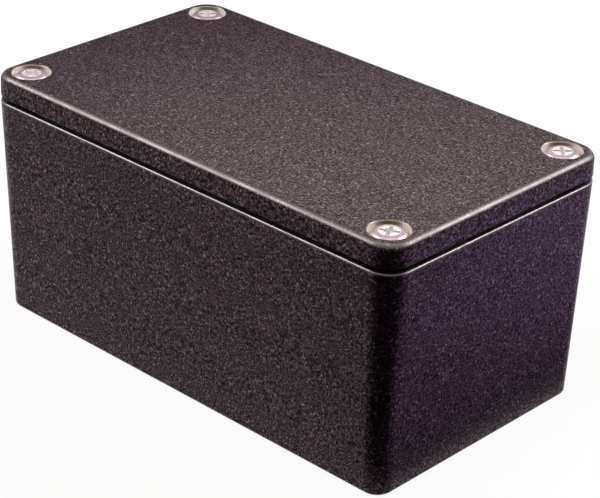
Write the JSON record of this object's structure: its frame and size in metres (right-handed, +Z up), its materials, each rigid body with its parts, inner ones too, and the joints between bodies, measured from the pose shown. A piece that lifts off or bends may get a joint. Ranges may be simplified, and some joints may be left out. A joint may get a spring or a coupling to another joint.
{
  "type": "die-cast aluminium enclosure",
  "caption": "Rectangular sealed die-cast box with drafted walls, a screwed-down lid with sunk pan-head screws, a moulded gasket and inner card guides, in black textured powder coat.",
  "frame": {"origin": "centre of the flat underside, on the surface that the enclosure stands on", "axes": "+X along the length, +Y across the width towards the back, +Z up through the lid; the long side that the picture shows faces -Y, and the short side that it shows faces +X"},
  "size_m": [0.115, 0.065, 0.056],
  "materials": {
    "coated_casting": "black textured powder coat over die-cast aluminium",
    "screw_steel": "bright stainless steel",
    "seal_rubber": "matt black moulded rubber"
  },
  "bodies": {
    "root": {"body": "coated_casting", "lid": "coated_casting", "gasket": "seal_rubber", "lid_screw_front_left": "screw_steel", "lid_screw_front_right": "screw_steel", "lid_screw_back_left": "screw_steel", "lid_screw_back_right": "screw_steel"}
  },
  "joints": []
}
